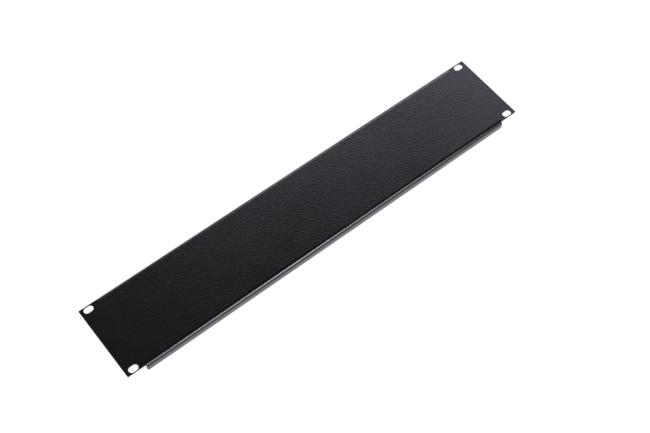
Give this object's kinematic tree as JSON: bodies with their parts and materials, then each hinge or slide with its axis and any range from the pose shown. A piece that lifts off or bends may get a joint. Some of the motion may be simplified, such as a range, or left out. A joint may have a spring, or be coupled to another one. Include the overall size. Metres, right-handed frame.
{
  "type": "rack blanking panel",
  "caption": "Black textured blanking panel for a 19-inch rack: a folded steel sheet with a flat face, two back-folded flanges and slotted mounting ears.",
  "frame": {"origin": "on the surface that the panel lies on, at the level of the flanges' free edges, under the middle of the panel", "axes": "+X along the panel from one mounting ear to the other, +Y up the rack face across the panel, +Z out of the front face"},
  "size_m": [0.4826, 0.0882, 0.01],
  "materials": {
    "powder_coat": "black semi-gloss powder coat with a fine leather-like texture"
  },
  "bodies": {
    "root": {"blanking_panel": "powder_coat"}
  },
  "joints": []
}
